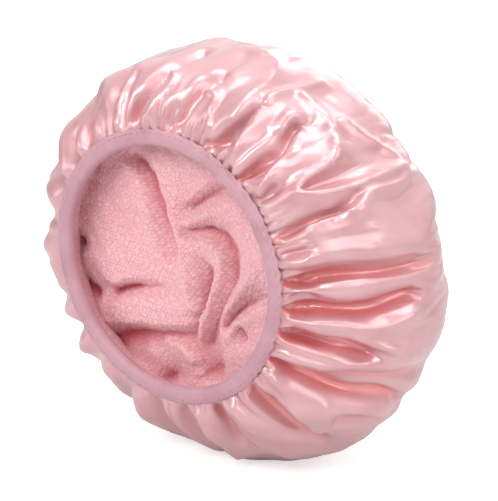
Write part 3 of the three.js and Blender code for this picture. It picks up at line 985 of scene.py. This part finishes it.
# the lapped end stands one tape higher
def tapeLap(angle, radius):
    fromLap = (angle - tape["lapAngle"] + np.pi) % (2 * np.pi) - np.pi
    slant = fromLap + (radius - tape["middle"]) * tape["lapSlant"]
    half, edge = tape["lapSpan"] / 2, tape["lapEdge"]
    return smooth(-half - edge, -half + edge, slant) * (1 - smooth(tape["lapTop"], half, slant))


def makeTape(material):
    bm = bmesh.new()
    line = [bm.verts.new((radius, depth, 0)) for radius, depth in tapeLine()]
    edges = [bm.edges.new(pair) for pair in zip(line, line[1:])]
    bmesh.ops.spin(bm, geom=line + edges, cent=(0, 0, 0), axis=(0, 1, 0), angle=2 * math.pi,
                   steps=tape["steps"], use_merge=True)
    bmesh.ops.remove_doubles(bm, verts=bm.verts, dist=1e-6)
    bmesh.ops.recalc_face_normals(bm, faces=bm.faces)
    piece = newPiece("rimTape", bm)
    mesh = piece.data
    x, depth, z = pointsOf(mesh).T
    angle, radius = np.arctan2(x, z), np.hypot(x, z)
    front = (depth < 0).astype(float)
    lip = front * smooth(*tape["lipFade"], radius)
    pucker = np.cos(tape["puckers"] * angle + wobble(angle, *tape["puckerSpread"]))
    pucker = pucker * (1 + wobble(angle, *tape["puckerUneven"]))
    radius = radius + lip * (tape["puckerOut"] * pucker) + tape["driftRise"] * wobble(angle, *tape["drift"])
    depth = depth + lip * tape["puckerDeep"] * pucker + tape["swayRise"] * wobble(angle, *tape["sway"])
    lap = tapeLap(angle, radius)
    depth = depth - front * lap * tape["lapRise"]
    radius = radius - lap * tape["lapDraw"] * front
    setPoints(mesh, onRim(radius, depth, angle))
    across = np.hypot(radius - tape["middle"], depth)
    setUv(mesh, np.stack([angle * tape["middle"], across * np.sign(depth)], 1))
    mesh.materials.append(material)
    thicken(piece, tape["thickness"])
    print("tape made", len(mesh.polygons))
    return piece


def capsule(bm, place, along, length, thickness):
    turn = along.to_track_quat("Z", "Y").to_matrix().to_4x4()
    size = Matrix.Diagonal((thickness, thickness, length / 2, 1))
    laid = Matrix.Translation(place) @ turn @ size
    bmesh.ops.create_uvsphere(bm, u_segments=8, v_segments=6, radius=1, matrix=laid)


stitches = {
    "count": 109, "radius": 0.0782, "depth": -0.0031, "length": 0.0030, "thread": 0.00028,
    "stray": 0.06, "seed": 31,
}


def makeStitches(material):
    bm = bmesh.new()
    rng = np.random.default_rng(stitches["seed"])
    stray = stitches["stray"]
    for number in range(stitches["count"]):
        angle = 2 * math.pi * (number + rng.uniform(-stray, stray)) / stitches["count"]
        along = Vector((math.cos(angle), rng.uniform(-stray, stray), -math.sin(angle)))
        place = onRim(stitches["radius"], stitches["depth"], angle)
        capsule(bm, Vector(place), along, stitches["length"], stitches["thread"])
    piece = newPiece("needleStitches", bm)
    piece.data.materials.append(material)
    print("stitches made")
    return piece


tack = {"bars": 8, "inside": 0.0732, "length": 0.0040, "width": 0.0026, "thread": 0.00026, "tilt": 0.15}


def makeTack(material):
    bm = bmesh.new()
    angle = tape["lapAngle"] - tape["lapSpan"] / 4
    sine, cosine = math.sin(angle), math.cos(angle)
    for bar in range(tack["bars"]):
        radius = tack["inside"] + tack["length"] * (bar + 0.5) / tack["bars"]
        place = onRim(radius, -rim["face"] - tape["lapRise"], angle)
        tilt = tack["tilt"] if bar % 2 else -tack["tilt"]
        along = Vector((cosine + tilt * sine, 0, -sine + tilt * cosine))
        capsule(bm, Vector(place), along, tack["width"], tack["thread"])
    piece = newPiece("lapTack", bm)
    piece.data.materials.append(material)
    print("tack made")
    return piece


# floor, world and lamps: each lamp is a place, a size and a power
studio = {
    "floor": {"shades": [(0, (0.80, 0.79, 0.79))], "roughness": 0.9}, "floorSize": 4, "floorLift": 0.6,
    "worldLight": 0.26, "roomLight": 0.25, "walls": (("X", 0.3, 0.9), ("Y", -0.1, 0.5)),
    "lamps": [((0.2, 0.1, 1.7), 1.3, 22), ((0.35, -1.45, 1.45), 0.8, 20), ((-0.9, -1.4, 0.8), 1.0, 8),
              ((1.5, -0.3, 0.9), 1.0, 8), ((-0.35, 1.6, 0.8), 1.1, 6)],
    "aim": (0, 0, 0.12),
}


def makeFloor():
    bm = bmesh.new()
    bmesh.ops.create_grid(bm, x_segments=1, y_segments=1, size=studio["floorSize"])
    floor = newPiece("floor", bm)
    material, shader = newMaterial("paleFloor", studio["floor"])
    seen = addNode(material, "LightPath").outputs["Is Camera Ray"]
    lift = addNode(material, "Math", {0: seen, 1: studio["floorLift"]}, operation="MULTIPLY")
    glow = addNode(material, "Emission", {"Strength": lift.outputs[0]})
    both = addNode(material, "AddShader", {0: shader.outputs[0], 1: glow.outputs[0]})
    plug(material, both.outputs[0], material.node_tree.nodes["Material Output"].inputs["Surface"])
    floor.data.materials.append(material)


# rays that see the backdrop itself, from the camera or off gloss
def seenRays(world):
    path = addNode(world, "LightPath").outputs
    total = path["Is Camera Ray"]
    for name in ("Is Glossy Ray", "Is Transmission Ray"):
        total = addNode(world, "Math", {0: total, 1: path[name]}, operation="MAXIMUM").outputs[0]
    return total


# white walls stand behind the cap and to its right, in a darker room
def makeWorld():
    world = bpy.data.worlds.new("studio")
    scene.world = world
    world.use_nodes = True
    heading = addNode(world, "SeparateXYZ", {0: coordinates(world, "Generated")}).outputs
    walls = []
    for axis, dark, white in studio["walls"]:
        limits = {"From Min": dark, "From Max": white, "To Min": studio["roomLight"], "To Max": 1.0}
        walls.append(addNode(world, "MapRange", {"Value": heading[axis], **limits}).outputs[0])
    sweep = addNode(world, "Math", dict(enumerate(walls)), operation="MAXIMUM").outputs[0]
    limits = {"To Min": studio["worldLight"], "To Max": sweep}
    level = addNode(world, "MapRange", {"Value": seenRays(world), **limits}).outputs[0]
    background = world.node_tree.nodes["Background"]
    plug(world, level, background.inputs["Strength"])
    background.inputs["Color"].default_value = (1, 1, 1, 1)


def makeLamps():
    for place, size, power in studio["lamps"]:
        lamp = bpy.data.objects.new("softbox", bpy.data.lights.new("softbox", "AREA"))
        lamp.data.size = size
        lamp.data.energy = power
        lamp.location = place
        lamp.rotation_euler = (Vector(studio["aim"]) - Vector(place)).to_track_quat("-Z", "Y").to_euler()
        scene.collection.objects.link(lamp)


makeCamera()
makeFloor()
makeWorld()
makeLamps()
print("studio made")
pinkThread, whiteThread = threadMaterial("pink"), threadMaterial("white")
shell = makeSatin(satinMaterial())
liner = makeFilm(shell, filmMaterial())
thicken(shell, satin["thickness"])
lining = makeTerry(terryMaterial())
binding = makeTape(tapeMaterial())
seam = makeStitches(pinkThread)
lapTack = makeTack(pinkThread)

# the pieces inside the rim keep their solids
for node, material in (("elastic_band", elasticMaterial()), ("bobbin_thread", pinkThread),
                       ("gathering_thread", pinkThread), ("elastic_tack", whiteThread)):
    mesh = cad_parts[node].data
    mesh.materials.clear()
    mesh.materials.append(material)

# what moves with what
for piece, node, slot in ((shell, "satin_shell", "satin"), (liner, "waterproof_film", "film")):
    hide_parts(node)
    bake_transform(piece)
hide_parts("terry_lining")
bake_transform(lining)
for piece, node, slot in ((binding, "rim_binding", "tape"), (seam, "needle_thread", "thread"),
                          (lapTack, "lap_tack", "thread")):
    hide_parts(node)
    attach(piece, "rim")

print("pieces placed")
